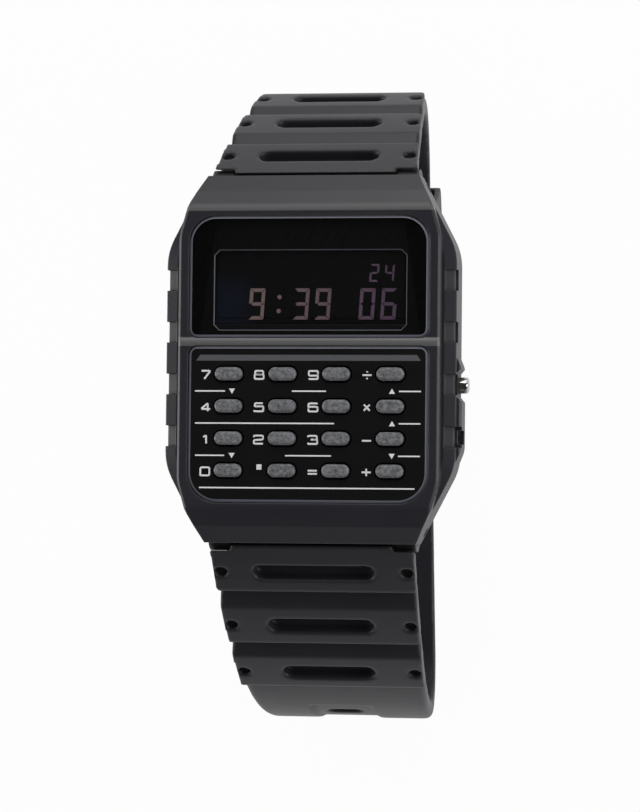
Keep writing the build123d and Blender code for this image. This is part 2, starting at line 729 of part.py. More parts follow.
def strap_root(band, start_angle, gap):
    c = half_length + gap - pivot_y
    tall = 2 * strap_depth
    turn = math.radians(start_angle)
    edge = [(pivot_y + c * math.cos(turn) + h * math.sin(turn), pivot_z + h * math.cos(turn) - c * math.sin(turn))
            for h in (-tall, tall)]
    band -= across(edge + [(0, pivot_z + tall), (0, pivot_z - tall)], lug_half_width + cut_over)
    for side in (1, -1):
        x0, x1 = sorted((side * (root_half + root_gap / 2), side * (lug_half_width + cut_over)))
        band -= block(x0, x1, 0, half_length + shoulder_gap, pivot_z - tall, case_top)
        band -= rod(ear_radius + ear_gap, x0, x1, pivot_y, pivot_z)
    band += rod(knuckle_radius, -root_half, root_half, pivot_y, pivot_z)
    return band - rod(bar_radius + bar_fit, -root_half - cut_over, root_half + cut_over, pivot_y, pivot_z)


# Half width of a strap, at a place in its cross plane, under a taper plane through three stations
def half_width_at(stations, spot):
    (x1, y1, z1), (x2, y2, z2), (x3, y3, z3) = stations
    normal = Vector(x2 - x1, y2 - y1, z2 - z1).cross(Vector(x3 - x1, y3 - y1, z3 - z1))
    return x1 - (normal.Y * (spot[0] - y1) + normal.Z * (spot[1] - z1)) / normal.X


# Rounds the smooth band's side edges that pass the given lengths along the line
def round_sides(band, line, planes, lengths):
    chosen = []
    for along in lengths:
        spot = place(line, along, smooth_drop)[0]
        half = min(half_width_at(stations, spot) for stations in planes)
        for side in (1, -1):
            edge = band.edges().sort_by_distance((side * half, *spot))[0]
            if edge not in chosen:
                chosen.append(edge)
    return fillet(chosen, smooth_round)


def cut_ribs(band, line, stations):
    for n, length in enumerate(slot_lengths):
        along = first_groove + (n - 1 / 2) * rib_pitch
        at = seat(line, along, 0)
        band -= extrude(at * SlotOverall(length, slot_width), slot_depth, both=True)
        edge = half_width_at(stations, place(line, along, 0)[0])
        for side in (1, -1):
            middle = side * (edge - dimple_inset)
            band -= extrude(at * Pos(middle, 0) * Circle(dimple_radius), dimple_depth, both=True)
    for n in range(groove_count):
        first = first_groove + n * rib_pitch - groove_width / 2
        near, far = (half_width_at(stations, place(line, s, 0)[0]) for s in (first, first + groove_width))
        wedge = Polygon((near - groove_side, 0), (far, groove_width), (near + cut_over, groove_width),
                        (near + cut_over, 0), align=None)
        side_cut = extrude(seat(line, first, 0) * wedge, 2 * strap_depth, both=True)
        band -= [side_cut, mirror(side_cut, Plane.YZ)]
    return band


start = (half_length + strap_start_gap, strap_start_z)
arc_slope_12 = slope_12 + math.degrees(rib_run / rib_run_radius)
arc_slope_6 = slope_6 + math.degrees(rib_run / rib_run_radius)
drop_12 = place((start, slope_12, [(rib_run, rib_run_radius)]), rib_run, 0)[0]
line_low_12 = smooth_low_12 - smooth_drop
floor_radius_12 = (drop_12[1] - line_low_12) / (1 + math.cos(math.radians(arc_slope_12)))
line_12 = (start, slope_12, [(rib_run, rib_run_radius), arc_to(arc_slope_12, 180, floor_radius_12), (reach, 0)])
flat_12 = rib_run + line_12[2][1][0]
turn_12 = (drop_12[0] - floor_radius_12 * math.sin(math.radians(arc_slope_12)),
           line_low_12 + floor_radius_12)
buckle_y = turn_12[0] - buckle_setback
tail_y = buckle_y + tail_past_buckle
end_12 = flat_12 + turn_12[0] - buckle_y

flank_6 = arc_to(arc_slope_6, flank_slope_6, flank_radius_6)
drop_6 = place((start, slope_6, [(rib_run, rib_run_radius), flank_6]), rib_run + flank_6[0], 0)[0]
inner_12 = line_low_12 + strap_depth
line_low_6 = inner_12 + tail_clearance - smooth_drop
corner_radius_6 = drop_6[1] - line_low_6
line_6 = (start, slope_6, [(rib_run, rib_run_radius), flank_6,
                           arc_to(flank_slope_6, 180, corner_radius_6), (reach, 0)])
flat_6 = rib_run + flank_6[0] + line_6[2][2][0]
end_6 = flat_6 + drop_6[0] - corner_radius_6 + tail_y

# Twelve o'clock half, which carries the buckle
lug_station = (lug_half_width, half_length, strap_start_z)
widest_12 = (side_half_width_12, turn_12[0] + floor_radius_12, turn_12[1])
low_12 = (end_half_width_12, buckle_y, smooth_low_12)
strap_12 = strap_band(line_12, end_12)
strap_12 -= taper_tool((lug_station, widest_12, low_12))
strap_12 = round_sides(strap_12, line_12, [(lug_station, widest_12, low_12)], [(rib_run + flat_12) / 2])
strap_12 = cut_ribs(strap_12, line_12, (lug_station, widest_12, low_12))
strap_12 = strap_root(strap_12, swing_12, swing_clearance)
pin_z = smooth_low_12 + (strap_depth - smooth_drop) / 2
strap_12 += rod(end_knuckle, -end_half_width_12, end_half_width_12, buckle_y, pin_z)
slot_x = tongue_width / 2 + tongue_slot_gap
strap_12 -= block(-slot_x, slot_x, buckle_y - end_knuckle - cut_over, buckle_y + tongue_slot_depth,
                  smooth_low_12 - cut_over, inner_12 + cut_over)
strap_12 -= rod(pin_radius + bar_fit, -lug_half_width, lug_half_width, buckle_y, pin_z)
parts["strap_12"] = strap_12

# Six o'clock half with its channel and adjustment slots, made on the +Y side and mirrored
widest_6 = (side_half_width_6, drop_6[0], drop_6[1])
floor_6 = (floor_half_width_6, drop_6[0] - corner_radius_6, line_low_6)
tail_6 = (tail_half_width, -tail_y, line_low_6)
strap_6 = strap_band(line_6, end_6)
strap_6 -= taper_tool((lug_station, widest_6, floor_6))
above_lug = (lug_half_width + edge_round, half_length, strap_start_z)
strap_6 -= taper_tool((above_lug, floor_6, tail_6))
planes_6 = [(lug_station, widest_6, floor_6), (above_lug, floor_6, tail_6)]
curl_6 = rib_run + flank_6[0]
strap_6 = round_sides(strap_6, line_6, planes_6, [rib_run + flank_6[0] / 2, curl_6 + (flat_6 - curl_6) / 4,
                                                  flat_6 - (flat_6 - curl_6) / 4, (flat_6 + end_6) / 2])
strap_6 = cut_ribs(strap_6, line_6, (lug_station, widest_6, floor_6))
strap_6 = strap_root(strap_6, 0, strap_start_gap)
channel = run(line_6, channel_start, end_6 - tail_half_width, smooth_drop - channel_depth)
channel.append(Line(channel[-1] @ 1, place(line_6, end_6 - tail_half_width, smooth_drop + channel_depth)[0]))
channel += run(line_6, end_6 - tail_half_width, channel_start, smooth_drop + channel_depth)
channel.append(Line(channel[-1] @ 1, channel[0] @ 0))
strap_6 -= extrude(Plane.YZ * make_face(channel), channel_width / 2, both=True)
for n in range(hole_count):
    at = seat(line_6, hole_start + n * hole_pitch, strap_depth / 2)
    strap_6 -= extrude(at * SlotOverall(hole_length, hole_width), strap_depth, both=True)
tail_plan = Pos(0, -tail_y + tail_half_width) * Circle(tail_half_width + tail_round_over)
tail_end = block(-lug_half_width, lug_half_width, -tail_y - cut_over, -tail_y + tail_half_width,
                 line_low_6 - cut_over, line_low_6 + strap_depth + cut_over)
strap_6 -= tail_end - slab(tail_plan, line_low_6 - cut_over, line_low_6 + strap_depth + cut_over)
parts["strap_6"] = mirror(strap_6, Plane.XZ)

# Buckle: a U-shaped frame on a pin through the strap's end, and its tongue
frame_low = pin_z - buckle_thick / 2
outer_half = buckle_inner_half + buckle_arm
far_y = buckle_y - buckle_reach
frame_plan = Pos(0, (far_y + buckle_y + buckle_heel) / 2) * Rectangle(2 * outer_half, buckle_reach + buckle_heel)
frame_plan = fillet([v for v in frame_plan.vertices() if v.Y < buckle_y], buckle_round)
inner_low = far_y + buckle_bar_width
inner_high = buckle_y + buckle_heel + cut_over
frame_plan -= Pos(0, (inner_low + inner_high) / 2) * Rectangle(2 * buckle_inner_half, inner_high - inner_low)
buckle = slab(frame_plan, frame_low, frame_low + buckle_thick)
buckle = chamfer(buckle.faces().sort_by(Axis.Z)[0].edges() + buckle.faces().sort_by(Axis.Z)[-1].edges(), buckle_edge)
buckle -= rod(pin_radius + bar_fit, -outer_half, outer_half, buckle_y, pin_z)
parts["buckle_frame"] = buckle
pin_half = buckle_inner_half + buckle_arm - pin_overhang
parts["buckle_pin"] = rod(pin_radius, -pin_half, pin_half, buckle_y, pin_z)
blade_top = frame_low - tongue_rest_gap
blade = [(buckle_y, pin_z - tongue_eye), (buckle_y, pin_z - pin_radius - bar_fit), (inner_low, blade_top),
         (far_y - tongue_tip, blade_top), (far_y - tongue_tip, blade_top - tongue_thick / 2),
         (far_y, blade_top - tongue_thick), (inner_low, blade_top - tongue_thick)]
tongue = across(blade, tongue_width / 2)
tongue += rod(tongue_eye, -tongue_width / 2, tongue_width / 2, buckle_y, pin_z)
parts["buckle_tongue"] = tongue - rod(pin_radius + bar_fit, -tongue_width, tongue_width, buckle_y, pin_z)

# Keeper: a loop that slides round the twelve o'clock half's curl
keeper_outer = floor_radius_12 - smooth_drop + keeper_slack
keeper_inner = keeper_outer - keeper_layers_height
keeper_turn = math.degrees(keeper_width / keeper_outer)
keeper_strap_half = end_half_width_12 + keeper_side_gap


def sector(inner, outer, half):
    ring = rod(outer, -half, half, turn_12[0], turn_12[1]) - rod(inner, -half - cut_over, half + cut_over, *turn_12)
    far = 2 * outer
    first, final = (math.radians(keeper_start_angle + t) for t in (0, keeper_turn))
    wedge = [turn_12] + [(turn_12[0] + far * math.sin(a), turn_12[1] - far * math.cos(a)) for a in (first, final)]
    return ring & across(wedge, half)


keeper = sector(keeper_inner - keeper_wall, keeper_outer + keeper_wall, keeper_strap_half + keeper_wall)
parts["strap_keeper"] = keeper - sector(keeper_inner, keeper_outer, keeper_strap_half)

os.makedirs("parts", exist_ok=True)
for name, solid in parts.items():
    export_step(solid, "parts/" + name + ".step")
print("nodes", len(parts))
print("strap lengths", round(end_12, 1), round(end_6, 1), "radii", round(floor_radius_12, 2), round(corner_radius_6, 2))
print("keeper turns about", [round(v, 3) for v in turn_12], "buckle pin at", round(buckle_y, 3), round(pin_z, 3))
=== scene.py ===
# Looks of the calculator watch: finishes for the CAD pieces, the markings and the display
import bpy
import bmesh
import math
from mathutils import Matrix, Vector
from mathutils.bvhtree import BVHTree


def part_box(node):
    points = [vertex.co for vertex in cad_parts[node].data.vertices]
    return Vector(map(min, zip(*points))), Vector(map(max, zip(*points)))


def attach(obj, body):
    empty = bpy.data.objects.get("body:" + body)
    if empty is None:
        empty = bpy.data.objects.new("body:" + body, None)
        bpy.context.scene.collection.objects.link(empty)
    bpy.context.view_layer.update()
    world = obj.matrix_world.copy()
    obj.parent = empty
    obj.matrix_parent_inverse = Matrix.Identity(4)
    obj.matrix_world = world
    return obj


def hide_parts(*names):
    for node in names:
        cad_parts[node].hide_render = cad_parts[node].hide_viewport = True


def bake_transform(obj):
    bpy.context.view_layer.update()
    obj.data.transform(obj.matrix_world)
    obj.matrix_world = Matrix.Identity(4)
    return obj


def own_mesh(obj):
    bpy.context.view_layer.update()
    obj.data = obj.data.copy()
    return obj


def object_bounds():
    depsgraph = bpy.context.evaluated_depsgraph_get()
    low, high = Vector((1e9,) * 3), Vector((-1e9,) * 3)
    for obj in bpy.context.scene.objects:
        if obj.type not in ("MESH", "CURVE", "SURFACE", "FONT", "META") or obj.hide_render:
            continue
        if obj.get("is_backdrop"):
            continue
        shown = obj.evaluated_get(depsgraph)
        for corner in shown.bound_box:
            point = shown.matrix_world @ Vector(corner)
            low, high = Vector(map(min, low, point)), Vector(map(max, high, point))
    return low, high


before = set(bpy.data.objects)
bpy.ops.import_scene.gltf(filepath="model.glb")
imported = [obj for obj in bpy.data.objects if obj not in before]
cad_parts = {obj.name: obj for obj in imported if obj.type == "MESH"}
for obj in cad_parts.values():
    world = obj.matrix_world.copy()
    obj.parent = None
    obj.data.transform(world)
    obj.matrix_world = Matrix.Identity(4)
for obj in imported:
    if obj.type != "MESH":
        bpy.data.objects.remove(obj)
cadLow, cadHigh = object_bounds()
mm = 0.001
print("frame loaded, nodes:", len(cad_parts))


# shader helpers: one wraps a socket, the other builds a node tree
class Wire:
    def __init__(self, tree, socket):
        self.tree, self.socket = tree, socket

    def maths(self, operation, first, second):
        return self.tree.node("ShaderNodeMath", {"operation": operation}, {0: first, 1: second})

    def __add__(self, other): return self.maths("ADD", self, other)
    def __radd__(self, other): return self.maths("ADD", other, self)
    def __sub__(self, other): return self.maths("SUBTRACT", self, other)
    def __rsub__(self, other): return self.maths("SUBTRACT", other, self)
    def __mul__(self, other): return self.maths("MULTIPLY", self, other)
    def __rmul__(self, other): return self.maths("MULTIPLY", other, self)
    def clamp(self): return self.maths("MAXIMUM", self.maths("MINIMUM", self, 1.0), 0.0)


class Wiring:
    def __init__(self, tree):
        self.tree = tree

    def node(self, kind, settings, inputs, output=0):
        made = self.tree.nodes.new(kind)
        for key, value in settings.items():
            if key == "stops":
                ramp = made.color_ramp
                while len(ramp.elements) < len(value):
                    ramp.elements.new(0.5)
                for stop, (place, colour) in zip(ramp.elements, value):
                    stop.position, stop.color = place, colour
            else:
                setattr(made, key, value)
        for key, value in inputs.items():
            self.feed(made.inputs[key], value)
        return Wire(self, made.outputs[output])

    def feed(self, socket, value):
        if isinstance(value, Wire):
            self.tree.links.new(value.socket, socket)
        else:
            socket.default_value = value

    def blend(self, amount, low, high):
        return self.node("ShaderNodeMix", {"data_type": "RGBA"}, {0: amount, 6: low, 7: high}, 2)


class Finish(Wiring):
    def __init__(self, name):
        self.material = bpy.data.materials.new(name)
        self.material.use_nodes = True
        Wiring.__init__(self, self.material.node_tree)
        self.surface = self.tree.nodes["Principled BSDF"]
        self.coords = self.node("ShaderNodeTexCoord", {}, {}, "Object")

    def put(self, **sockets):
        for name, value in sockets.items():
            self.feed(self.surface.inputs[name.replace("_", " ")], value)
        return self

    def noise(self, size, detail=2.0, stretch=(1, 1, 1)):
        # grain of about the given size in metres, longer where stretch is over 1
        scale = [1 / (size * s) for s in stretch]
        place = self.node("ShaderNodeMapping", {}, {"Vector": self.coords, "Scale": scale})
        return self.node("ShaderNodeTexNoise", {}, {"Vector": place, "Scale": 1.0, "Detail": detail})

    def bevelled(self, flat=0.97, steep=0.5):
        # 1 on faces that lean away from the dial's plane, such as a window's bevel, 0 on flat and upright ones
        facing = self.node("ShaderNodeTexCoord", {}, {}, "Normal")
        up = self.node("ShaderNodeSeparateXYZ", {}, {"Vector": facing}, 2)
        below = self.node("ShaderNodeMath", {"operation": "LESS_THAN"}, {0: up, 1: flat})
        above = self.node("ShaderNodeMath", {"operation": "GREATER_THAN"}, {0: up, 1: steep})
        return below * above

    def paintedEdgeHighlight(self, reach, gain=1.5):
        # 1 along outer edges and corners, 0 a little way in: where the painted edge highlight goes
        buried = self.node("ShaderNodeAmbientOcclusion", {"inside": True, "samples": 6}, {"Distance": reach}, 1)
        return ((1 - buried) * gain).clamp()

    def hollowShade(self, reach, gain=1.6):
        # 1 deep in grooves, slots and inner corners, 0 on open faces: where the painted shade goes
        bare = self.node("ShaderNodeAmbientOcclusion", {"samples": 6}, {"Distance": reach}, 1)
        return ((0.9 - bare) * gain).clamp()

    def place(self, axis):
        # how far along an axis a point is, in millimetres
        return self.node("ShaderNodeSeparateXYZ", {}, {"Vector": self.coords}, axis) * 1000

    def ramp(self, value, start, end):
        # a smooth step from 0 at start to 1 at end
        return self.node("ShaderNodeMapRange", {"interpolation_type": "SMOOTHSTEP"},
                         {"Value": value, "From Min": start, "From Max": end})

    def span(self, axis, low, high, soft, fade=None):
        # 1 where the place along an axis, in millimetres, is between low and high
        place = self.place(axis)
        return self.ramp(place, low - soft, low) * (1 - self.ramp(place, high, high + (fade or soft)))

    def bump(self, height, depth, edge=None):
        sockets = {"Height": height, "Strength": 1.0, "Distance": depth}
        if edge:
            sockets["Normal"] = self.node("ShaderNodeBevel", {"samples": 6}, {"Radius": edge})
        return self.node("ShaderNodeBump", {}, sockets)


def grey(value, tint=(1.0, 1.0, 1.0)):
    return tuple(value * t for t in tint) + (1.0,)


# finishes
resin = {
    "grain": 0.00022, "grainDepth": 0.000010, "cloud": 0.009, "edge": 0.00022, "tone": 0.025, "rough": 0.42,
    "darker": (0.84, (0.92, 0.93, 1.28)), "lighter": (1.14, (0.94, 0.95, 1.22)),
    # the painted highlight on outer edges and the painted shade in hollows: their tones and reaches
    "edgeHighlightTone": grey(0.042, (0.99, 0.98, 1.03)), "edgeHighlightReach": 0.0003, "hollowShadeTone": grey(0.003),
    "hollowShadeReach": 0.0009, "sheen": 0.10, "sheenRough": 0.3,
    "strapTone": 0.95, "strapRough": 0.03, "strapEdge": 0.0004, "strapGrainDepth": 0.000014,
    # painted highlights on the bar between the windows and on the ridge above them, coloured lighter where they
    # shine: from and to in Y, lowest in Z, tone
    "bridge": {"span": (1.42, 2.36), "low": 8.0, "tone": grey(0.14)},
    "ridge": {"span": (17.3, 17.62), "low": 6.6, "tone": grey(0.13)}, "top": 9.0,
}


def resinFinish(name, tone, rough, edge, grainDepth):
    finish = Finish(name)
    fine = finish.noise(resin["grain"], 3.0)
    cloud = finish.noise(resin["cloud"], 2.0)
    darker, lighter = (grey(tone * share, tint) for share, tint in (resin["darker"], resin["lighter"]))
    colour = finish.blend((cloud * 0.7 + fine * 0.3).clamp(), darker, lighter)
    # painted highlight: outer edges and corners coloured lighter, as rounded edges catching the light
    paintedEdgeHighlight = finish.paintedEdgeHighlight(resin["edgeHighlightReach"]) * (0.6 + fine * 0.8)
    colour = finish.blend(paintedEdgeHighlight.clamp(), colour, resin["edgeHighlightTone"])
    # painted shade: grooves, slots and inner corners coloured darker, where shade falls
    hollowShade = finish.hollowShade(resin["hollowShadeReach"])
    colour = finish.blend(hollowShade, colour, resin["hollowShadeTone"])
    # painted highlights: the bar between the windows and the ridge above them coloured lighter, where the light
    # shines on them
    if name == "caseResin":
        bridge, ridge = resin["bridge"], resin["ridge"]
        onBridge = finish.span(1, *bridge["span"], 0.08) * finish.span(2, bridge["low"], resin["top"], 0.1)
        onRidgeHighlight = finish.span(1, *ridge["span"], 0.12, 0.7) * finish.span(2, ridge["low"], resin["top"], 0.2)
        colour = finish.blend(onBridge, colour, bridge["tone"])
        colour = finish.blend(onRidgeHighlight * 0.8, colour, ridge["tone"])
    finish.put(Base_Color=colour, Roughness=(rough - 0.05 + cloud * 0.10 + hollowShade * 0.3).clamp(), IOR=1.5,
               Sheen_Weight=resin["sheen"], Sheen_Roughness=resin["sheenRough"])
    return finish.put(Normal=finish.bump(fine, grainDepth, edge)).material


# the painted highlight on bevelled rims is tinted faintly blue
rimmed = {"grain": 0.0004, "sheetTint": (0.97, 0.97, 1.05), "bevelHighlightTint": (0.9, 0.93, 1.12), "edge": 0.00005}


def rimmedFinish(name, tone, bevelHighlightTone, rough, alpha, gloss):
    # a black sheet whose bevelled rim is coloured lighter: a painted highlight on the bevel
    finish = Finish(name)
    fine = finish.noise(rimmed["grain"], 2.0)
    bevelHighlight = finish.bevelled()
    sheetColour, bevelHighlightColour = grey(tone, rimmed["sheetTint"]), grey(bevelHighlightTone, rimmed["bevelHighlightTint"])
    finish.put(Base_Color=finish.blend(bevelHighlight, sheetColour, bevelHighlightColour),
               Roughness=rough + fine * 0.05, Alpha=alpha + bevelHighlight * (1.0 - alpha), Specular_IOR_Level=gloss)
    return finish.put(Normal=finish.bump(fine, 0.000001, rimmed["edge"])).material


keyLook = {"lumps": 0.00042, "fine": 0.00014, "contrast": 3.5, "depth": 0.00007, "edge": 0.00022,
           "dark": (0.066, 0.067, 0.073, 1), "light": (0.285, 0.288, 0.305, 1)}


def keyFinish():
    # grey keys with a leathery moulded texture
    finish = Finish("keyGrey")
    lumps = finish.noise(keyLook["lumps"], 4.0)
    fine = finish.noise(keyLook["fine"], 2.0)
    spread = ((lumps * 0.5 + fine * 0.5 - 0.5) * keyLook["contrast"] + 0.5).clamp()
    finish.put(Base_Color=finish.blend(spread, keyLook["dark"], keyLook["light"]), Roughness=0.36 + fine * 0.16)
    texture = finish.bump(lumps * 0.75 + fine * 0.25, keyLook["depth"], keyLook["edge"])
    return finish.put(Normal=texture).material


def plainFinish(name, colour, rough, metal=0.0, grain=0.0003, depth=0.000004, edge=0.00008, **more):
    finish = Finish(name)
    fine = finish.noise(grain, 2.0)
    low = tuple(c * 0.93 for c in colour[:3]) + (1.0,)
    high = tuple(min(1.0, c * 1.07) for c in colour[:3]) + (1.0,)
    finish.put(Base_Color=finish.blend(fine, low, high), Roughness=rough - 0.03 + fine * 0.06,
               Metallic=metal, **more)
    return finish.put(Normal=finish.bump(fine, depth, edge)).material


def brushedFinish(name, tone, rough, stretch, edge=0.00008):
    finish = Finish(name)
    lines = finish.noise(0.00006, 2.0, stretch)
    finish.put(Base_Color=finish.blend(lines, grey(tone * 0.86), grey(tone * 1.08, (1.0, 0.995, 0.985))),
               Roughness=rough + lines * 0.12, Metallic=1.0)
    return finish.put(Normal=finish.bump(lines, 0.0000025, edge)).material


boardLook = {"scale": 420.0, "trackWidth": 0.06, "mask": (0.01, 0.07, 0.025, 1),
             "track": (0.35, 0.24, 0.07, 1)}


def boardFinish():
    # a green board with plated tracks
    finish = Finish("circuitBoard")
    tracks = finish.node("ShaderNodeTexBrick", {"offset": 0.35},
                         {"Vector": finish.coords, "Scale": boardLook["scale"],
                          "Mortar Size": boardLook["trackWidth"], "Color1": grey(0.0), "Color2": grey(0.25),
                          "Mortar": grey(1.0)}, 1)
    finish.put(Base_Color=finish.blend(tracks, boardLook["mask"], boardLook["track"]),
               Roughness=0.42, Metallic=tracks * 0.6)
    return finish.material


stripeLook = {"scale": 900.0, "dark": (0.05, 0.03, 0.035, 1), "pink": (0.62, 0.36, 0.4, 1)}


def stripeFinish():
    # conductive rubber strips: fine dark and pink layers across X
    finish = Finish("contactRubber")
    layers = finish.node("ShaderNodeTexWave", {"bands_direction": "X"},
                         {"Vector": finish.coords, "Scale": stripeLook["scale"]})
    finish.put(Base_Color=finish.blend(layers, stripeLook["dark"], stripeLook["pink"]), Roughness=0.6)
    return finish.material


# the display's colours, and where they shift in X and Y, in millimetres
displayLook = {
    "segmentsLeft": (0.36, 0.25, 0.235, 1), "segmentsRight": (0.17, 0.10, 0.18, 1), "segmentShift": (-7.0, 9.0),
    "ground": grey(0.0075, (1, 1, 1.04)), "corner": (0.013, 0.017, 0.034, 1),
    "cornerAcross": (-5.5, -9.5), "cornerDown": (11.0, 7.0), "segmentGrain": 0.00025, "groundGrain": 0.0003,
}


def segmentFinish():
    # the dark display's segments shift from light brown at the left to violet at the right
    finish = Finish("segmentBrown")
    across = finish.place(0)
    left, right = displayLook["segmentShift"]
    shift = finish.node("ShaderNodeMapRange", {}, {"Value": across, "From Min": left, "From Max": right})
    fine = finish.noise(displayLook["segmentGrain"], 2.0)
    colour = finish.blend((shift + (fine - 0.5) * 0.3).clamp(), displayLook["segmentsLeft"],
                          displayLook["segmentsRight"])
    return finish.put(Base_Color=colour, Roughness=0.6).material


def displayFinish():
    # a near-black display that turns faintly blue towards its lower left corner
    finish = Finish("lcdDark")
    left = finish.ramp(finish.place(0), *displayLook["cornerAcross"])
    low = finish.ramp(finish.place(1), *displayLook["cornerDown"])
    grain = finish.noise(displayLook["groundGrain"], 2.0)
    nearCorner = (left * low * (0.7 + grain * 0.6)).clamp()
    colour = finish.blend(nearCorner, displayLook["ground"], displayLook["corner"])
    finish.put(Base_Color=colour, Roughness=0.26 + grain * 0.05)
    return finish.put(Normal=finish.bump(grain, 0.000002)).material


finishes = {
    "caseResin": resinFinish("caseResin", resin["tone"], resin["rough"], resin["edge"], resin["grainDepth"]),
    "strapResin": resinFinish("strapResin", resin["tone"] * resin["strapTone"],
                              resin["rough"] + resin["strapRough"], resin["strapEdge"],
                              resin["strapGrainDepth"]),
    # sheet tone, then the painted highlight's tone on the bevelled rim
    "crystal": rimmedFinish("crystal", 0.003, 0.26, 0.08, 0.16, 0.45),
    "maskPrint": rimmedFinish("maskPrint", 0.0045, 0.22, 0.4, 1.0, 0.35),
    "panelBlack": rimmedFinish("panelBlack", 0.006, 0.28, 0.34, 1.0, 0.4),
    "keyGrey": keyFinish(),
    "lcdDark": displayFinish(),
    "holderBlack": plainFinish("holderBlack", (0.0045, 0.0045, 0.006), 0.5),
    "contactRubber": stripeFinish(),
    "circuitBoard": boardFinish(),
    "chipResin": plainFinish("chipResin", (0.008, 0.008, 0.008), 0.25, grain=0.001),
    "frameBlack": plainFinish("frameBlack", (0.02, 0.02, 0.02), 0.5),
    "matRubber": plainFinish("matRubber", (0.25, 0.25, 0.27), 0.65),
    "sealRubber": plainFinish("sealRubber", (0.012, 0.012, 0.012), 0.6),
    "backSteel": brushedFinish("backSteel", 0.56, 0.24, (60, 1, 1)),
    "buckleSteel": brushedFinish("buckleSteel", 0.5, 0.26, (40, 1, 1), 0.0002),
    "smallSteel": brushedFinish("smallSteel", 0.52, 0.28, (1, 20, 1)),
    "brightSteel": plainFinish("brightSteel", (0.62, 0.61, 0.59), 0.17, 1.0, depth=0.000001, edge=0.00012),
    "discBrass": plainFinish("discBrass", (0.62, 0.43, 0.16), 0.3, 1.0),
    "legendWhite": plainFinish("legendWhite", (0.95, 0.94, 0.95), 0.5, edge=None),
    "legendGrey": plainFinish("legendGrey", (0.105, 0.107, 0.117), 0.45, edge=None),
    "segmentBrown": segmentFinish(),
}
print("finishes made:", len(finishes))

nodeFinish = {
    "case_body": "caseResin", "window_crystal": "crystal", "window_mask": "maskPrint",
    "keypad_panel": "panelBlack", "lcd_cell": "lcdDark", "lcd_polariser": "lcdDark",
    "lcd_holder": "holderBlack", "zebra_strips": "contactRubber", "circuit_board": "circuitBoard",
    "chip_blob": "chipResin", "quartz_can": "brightSteel", "battery": "brightSteel",
    "battery_clip": "smallSteel", "module_frame": "frameBlack", "key_mat": "matRubber",
    "back_gasket": "sealRubber", "case_back": "backSteel", "back_screws": "smallSteel",
    "buzzer_disc": "discBrass", "mode_pusher": "brightSteel", "adjust_pusher": "brightSteel",
    "mode_spring": "smallSteel", "adjust_spring": "smallSteel", "mode_seal": "sealRubber",
    "adjust_seal": "sealRubber", "mode_clip": "smallSteel", "adjust_clip": "smallSteel",
    "spring_bar_12": "smallSteel", "spring_bar_6": "smallSteel", "strap_12": "strapResin",
    "strap_6": "strapResin", "strap_keeper": "strapResin", "buckle_frame": "buckleSteel",
    "buckle_tongue": "buckleSteel", "buckle_pin": "buckleSteel",
}
for nodeName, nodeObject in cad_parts.items():
    chosen = finishes["keyGrey" if nodeName.startswith("key_") and nodeName != "key_mat" else nodeFinish[nodeName]]
    if not nodeObject.material_slots:
        nodeObject.data.materials.append(chosen)
    for materialSlot in nodeObject.material_slots:
        materialSlot.material = chosen
print("CAD pieces dressed")


# pieces made here: one with its material and body, and flat printed plates
def finishPiece(mesh, name, finish, body):
    piece = bpy.data.objects.new(name, mesh)
    bpy.context.scene.collection.objects.link(piece)
    mesh.materials.clear()
    mesh.materials.append(finishes[finish])
    if body:
        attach(piece, body)
    return piece


def addPlate(bm, outline, low, thick):
    # a thin plate with the given outline, in millimetres
    corners = [bm.verts.new((x * mm, y * mm, low * mm)) for x, y in outline]
    face = bm.faces.new(corners)
    if face.normal.z < 0:
        face.normal_flip()
    raised = bmesh.ops.extrude_face_region(bm, geom=[face])["geom"]
    bmesh.ops.translate(bm, vec=(0, 0, thick * mm), verts=[v for v in raised if isinstance(v, bmesh.types.BMVert)])


def plates(outlines, low, thick, name, finish, body):
    bm = bmesh.new()
    for outline in outlines:
        addPlate(bm, outline, low, thick)
    bmesh.ops.recalc_face_normals(bm, faces=bm.faces)
    mesh = bpy.data.meshes.new(name)
    bm.to_mesh(mesh)
    bm.free()
    return finishPiece(mesh, name, finish, body)


def bar(x0, x1, y, height):
    return [(x0, y - height / 2), (x1, y - height / 2), (x1, y + height / 2), (x0, y + height / 2)]


# the strap's halves and keeper as they come from the mould, with every edge softened
moulded = {
    "voxel": 0.00025, "soften": 0.5, "passes": 6, "flatten": 0.35, "tuck": 0.00003, "crispWithin": 0.0232,
    # each piece's body, and how far its sides are drawn in towards the band it holds
    "pieces": {"strap_12": ("strap_upper", 1.0), "strap_6": ("strap_lower", 1.0), "strap_keeper": ("keeper", 0.98)},
}


